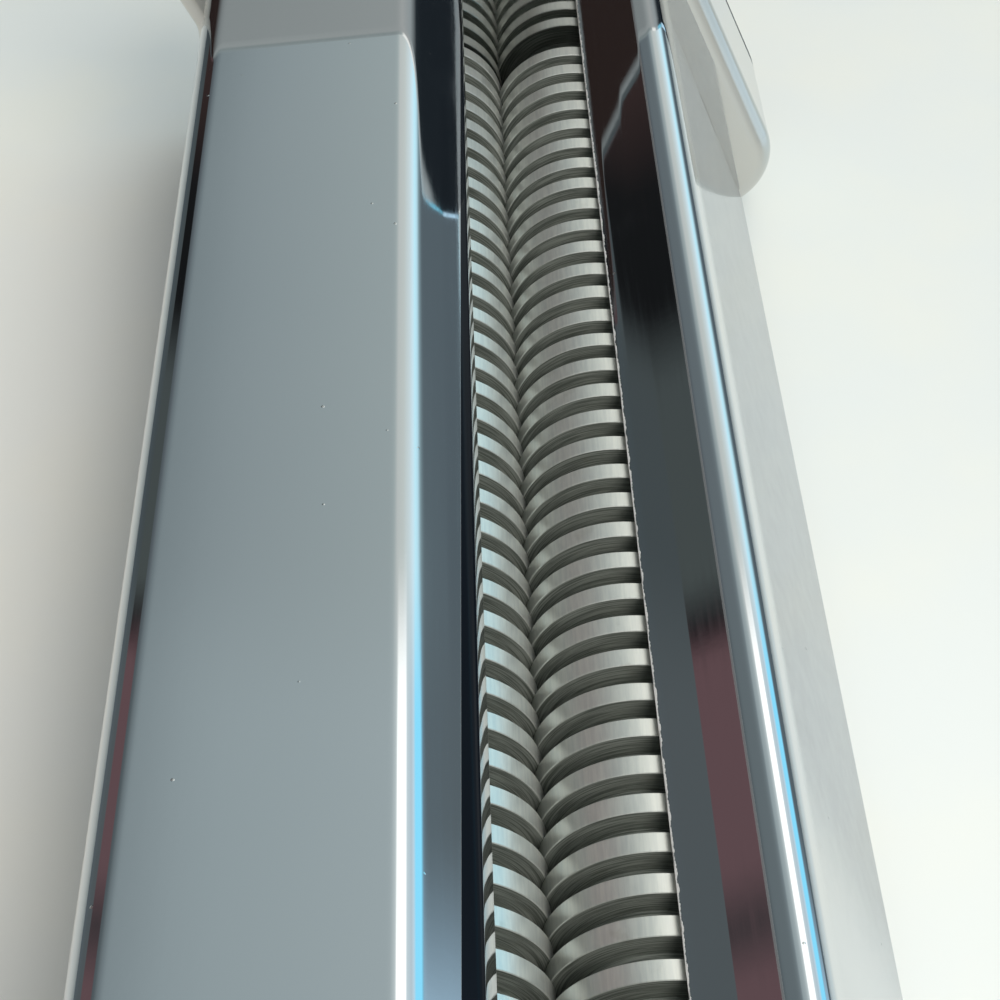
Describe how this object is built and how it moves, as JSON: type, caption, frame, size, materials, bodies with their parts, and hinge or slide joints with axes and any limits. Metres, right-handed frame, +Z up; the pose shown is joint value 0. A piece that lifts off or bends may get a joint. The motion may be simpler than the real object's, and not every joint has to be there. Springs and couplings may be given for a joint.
{
  "type": "pasta cutter attachment",
  "caption": "Square spaghetti cutter head of a hand-cranked pasta machine: two meshing ring rollers under bent chrome covers between two end housings, driven at a cross-slotted socket.",
  "frame": {"origin": "bottom centre of the whole object's box, on the plane the two end housings stand on", "axes": "+X along the rollers towards the gear end, -Y to the front with the sloping cover, +Z up and against the feed direction"},
  "size_m": [0.196, 0.0804, 0.042],
  "materials": {
    "cover_chrome": "polished chrome-plated steel sheet",
    "housing_chrome": "polished chrome-plated steel sheet",
    "roller_steel": "turned steel, fine circumferential tool marks",
    "gear_steel": "machined steel, lightly greased",
    "clip_steel": "blackened spring steel",
    "socket_steel": "turned steel",
    "collar_nylon": "natural nylon",
    "comb_nylon": "black moulded nylon",
    "screw_steel": "zinc-plated steel",
    "rod_steel": "drawn steel bar",
    "plate_steel": "zinc-plated steel plate",
    "bushing_bronze": "sintered bronze",
    "cap_plastic": "black moulded plastic, fine grain"
  },
  "bodies": {
    "frame": {"rear_cover": "cover_chrome", "front_cover": "cover_chrome", "socket_collar": "collar_nylon", "front_comb": "comb_nylon", "rear_comb": "comb_nylon", "tie_rod_screws": "screw_steel", "cap_standoffs": "rod_steel", "cap_screws": "screw_steel", "tie_rod_rear_upper": "rod_steel", "tie_rod_rear_lower": "rod_steel", "tie_rod_front_upper": "rod_steel", "tie_rod_front_lower": "rod_steel", "housing_gear_side": "housing_chrome", "bearing_plate_gear_side": "plate_steel", "end_cap_gear_side": "cap_plastic", "bushing_front_gear_side": "bushing_bronze", "bushing_rear_gear_side": "bushing_bronze", "housing_crank_side": "housing_chrome", "bearing_plate_crank_side": "plate_steel", "end_cap_crank_side": "cap_plastic", "bushing_front_crank_side": "bushing_bronze", "bushing_rear_crank_side": "bushing_bronze"},
    "front_roller": {"front_cutting_roller": "roller_steel", "drive_gear": "gear_steel", "drive_gear_clip": "clip_steel", "crank_socket": "socket_steel", "crank_socket_pin": "socket_steel"},
    "rear_roller": {"rear_cutting_roller": "roller_steel", "driven_gear": "gear_steel", "driven_gear_clip": "clip_steel", "rear_shaft_clip": "clip_steel"}
  },
  "joints": [
    {"name": "front_roller_spin", "type": "hinge", "parent": "frame", "child": "front_roller", "pos_m": [0, -0.01162, 0.02], "axis": [1, 0, 0], "continuous": true},
    {"name": "rear_roller_spin", "type": "hinge", "parent": "frame", "child": "rear_roller", "pos_m": [0, 0.00648, 0.02], "axis": [1, 0, 0], "continuous": true}
  ],
  "couplings": [
    {"joint": "rear_roller_spin", "follows": "front_roller_spin", "ratio": -1}
  ]
}
